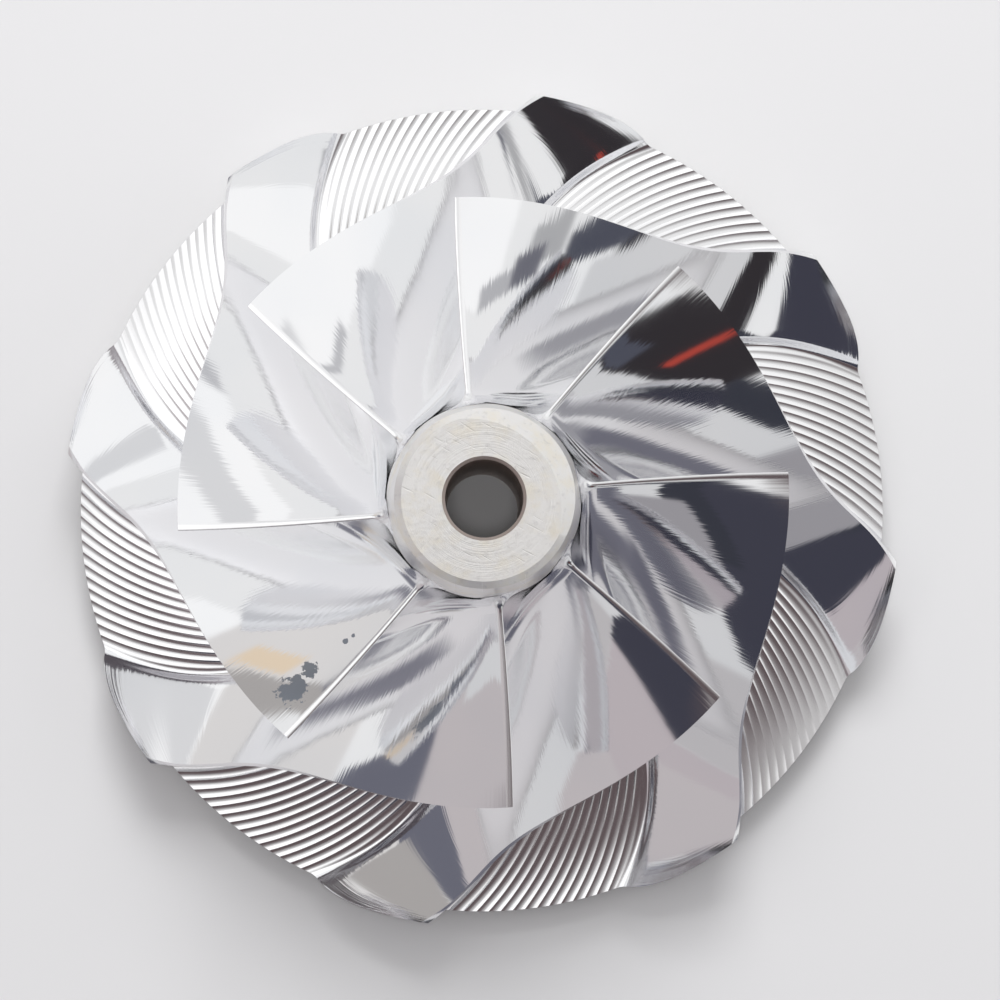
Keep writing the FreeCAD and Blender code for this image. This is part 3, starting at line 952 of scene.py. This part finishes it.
# the dim side overhead: azimuth, share of the direction towards it, sine of the elevation, colour
DIM_SIDE = 283
DIM_TOWARDS, DIM_HEIGHT = (-0.23, 0.38), (0.68, 0.78)
DIM = (0.115, 0.088, 0.092)

# dark patches painted on the floor, seen only in the metal as painted shade: azimuth, half width,
# nearest and farthest, colour

FLOOR_PAINTED_SHADE = (
    (236, 74, 0.050, 0.90, (0.56, 0.55, 0.56)),
    (166, 9, 0.060, 0.17, (0.150, 0.150, 0.180)),
    (257, 10, 0.060, 0.13, (0.110, 0.110, 0.140)),
    (297, 35, 0.048, 0.09, (0.130, 0.130, 0.160)),
    (340, 18, 0.054, 0.11, (0.270, 0.270, 0.290)),
)
PAPER_SIDE = 5  # degrees of azimuth over which its sides soften
PAPER_END = 0.15  # share of a distance over which its ends soften
FLOOR_HALF = 3.0

EYE, AIM = (-0.00238, -0.01248, 0.400), (0.00186, 0.00096, 0.004)
CLIP_START = 0.01
WINDOW_PLACE, WINDOW_SIZE, WINDOW_POWER = (0.05, 0.50, 0.55), 0.35, 4.0
FILL_SIZE, FILL_POWER = 0.03, 0.25


def share_towards(flat, degrees):
    """The share of a direction's level part towards an azimuth of the view."""
    turn = math.radians(degrees + VIEW_TURN)
    return flat[0] * math.cos(turn) + flat[1] * math.sin(turn)


def towards(flat, degrees, half, soft):
    """1 near an azimuth and 0 past a half width, by the cosine of the angle between them."""
    out, inside = (math.cos(math.radians(half + edge)) for edge in (soft, -soft))
    return (share_towards(flat, degrees) / flat[2]).step(out, inside)


def above(height, degrees):
    """0 below an elevation and 1 above it; height is its sine."""
    low, high = (math.sin(math.radians(degrees + edge)) for edge in (-TENT_EDGE, TENT_EDGE))
    return height.step(low, high)


def past(level, distance):
    """0 nearer than a distance and 1 farther."""
    return level.step(distance * (1 - PAPER_END), distance * (1 + PAPER_END))


def studio_world(scene, look):
    """A light tent: bright all round, with darker shapes by azimuth and height, and a dim side.

    Height is the sine of the elevation. The camera sees the plain backdrop instead.
    """
    world = bpy.data.worlds.new("studio")
    scene.world = world
    world.use_nodes = True
    made = Shader(world.node_tree)
    x, y, z, level = made.split(made.node("ShaderNodeTexCoord", output="Generated"))
    flat = (x, y, level)
    tone = rgba(TENT)
    for degrees, half, low, high, shade in AROUND:
        tall = above(z, low) * (1 - above(z, high))
        tone = made.mix(towards(flat, degrees, half, TENT_SIDE) * tall, tone, rgba(shade))
    dim = share_towards(flat, DIM_SIDE).step(*DIM_TOWARDS) * z.step(*DIM_HEIGHT)
    tone = made.mix(made.seen(), made.mix(dim, tone, rgba(DIM)), rgba(look.backdrop))
    light = made.node("ShaderNodeBackground", inputs={"Color": tone, "Strength": look.level})
    made.node("ShaderNodeOutputWorld", inputs={"Surface": light})


def floor_paper(look):
    """Plain pale paper for the view, with darker patches painted on it for reflections alone:
    painted shade that the metal mirrors.
    """
    made = Finish("pale_floor")
    x, y, _, level = made.split(made.place())
    tone = rgba(look.floor)
    # painted shade: dark patches on the floor that only the metal's reflections see; the camera
    # sees the plain floor
    for degrees, half, near, far, shade in FLOOR_PAINTED_SHADE:
        deep = past(level, near) * (1 - past(level, far))
        side = towards((x, y, level), degrees, half, PAPER_SIDE)
        tone = made.mix(side * deep, tone, rgba(shade))
    tone = made.mix(made.seen(), tone, rgba(look.floor))
    return made.principled({"Base Color": tone, "Roughness": 0.6, "Specular IOR Level": 0.1})


def lay_floor(look):
    """A level square under the wheel."""
    half = FLOOR_HALF
    corners = [(-half, -half, 0), (half, -half, 0), (half, half, 0), (-half, half, 0)]
    mesh = bpy.data.meshes.new("floor")
    mesh.from_pydata(corners, [], [(0, 1, 2, 3)])
    mesh.materials.append(floor_paper(look))
    put(mesh, "floor")


def place_lamp(name, size, power):
    """A square lamp that the metal doesn't mirror."""
    lamp = bpy.data.lights.new(name, "AREA")
    lamp.size, lamp.energy = size, power
    made = put(lamp, name)
    made.visible_glossy = False
    return made


def place_camera(look):
    """The camera at EYE, looking at AIM, both turned with the view."""
    lens = bpy.data.cameras.new("camera")
    lens.lens, lens.clip_start = look.lens, CLIP_START
    spin = Matrix.Rotation(math.radians(VIEW_TURN), 3, "Z")
    eye, aim, up = (spin @ Vector(place) for place in (EYE, AIM, (0, 1, 0)))
    back = (eye - aim).normalized()
    right = up.cross(back).normalized()
    turn = Matrix((right, back.cross(right), back)).transposed().to_4x4()
    camera = put(lens, "camera")
    camera.matrix_world = Matrix.Translation(eye) @ turn
    return camera


class WHEEL_OT_studio(Operator):
    """Pale floor, soft light and the camera"""

    bl_idname = "wheel.studio"
    bl_label = "Studio"

    def execute(self, context):
        scene = context.scene
        look = scene.wheel_studio
        lay_floor(look)
        studio_world(scene, look)
        window = place_lamp("window", WINDOW_SIZE, WINDOW_POWER)
        window.location = WINDOW_PLACE
        window.rotation_euler = (-window.location).to_track_quat("-Z", "Y").to_euler()
        scene.camera = place_camera(look)
        fill = place_lamp("fill", FILL_SIZE, FILL_POWER)
        fill.matrix_world = scene.camera.matrix_world
        scene.view_settings.view_transform = "Standard"
        return {"FINISHED"}


# ---------------------------------------------------------------- add-on


class WHEEL_PT_panel(Panel):
    """The pieces and the stage, in the order they are made"""

    bl_idname = "WHEEL_PT_panel"
    bl_label = "Compressor Wheel"
    bl_space_type = "VIEW_3D"
    bl_region_type = "UI"
    bl_category = "Wheel"

    def draw(self, context):
        for made in OPERATORS:
            self.layout.operator(made.bl_idname)
        for group, _ in GROUPS:
            box = self.layout.box()
            settings = getattr(context.scene, group)
            for name in settings.__annotations__:
                box.prop(settings, name)


OPERATORS = (WHEEL_OT_milled_wheel, WHEEL_OT_studio)
GROUPS = (
    ("wheel_sizes", WheelSizes),
    ("blade_sizes", BladeSizes),
    ("wheel_finish", FinishSettings),
    ("wheel_studio", StudioSettings),
)


def register():
    for name, group in GROUPS:
        bpy.utils.register_class(group)
        setattr(bpy.types.Scene, name, PointerProperty(type=group))
    for made in (*OPERATORS, WHEEL_PT_panel):
        bpy.utils.register_class(made)


def unregister():
    for made in (WHEEL_PT_panel, *reversed(OPERATORS)):
        bpy.utils.unregister_class(made)
    for name, group in reversed(GROUPS):
        delattr(bpy.types.Scene, name)
        bpy.utils.unregister_class(group)


def main():
    register()
    bpy.ops.wheel.milled_wheel()
    bpy.ops.wheel.studio()


if __name__ == "__main__":
    main()
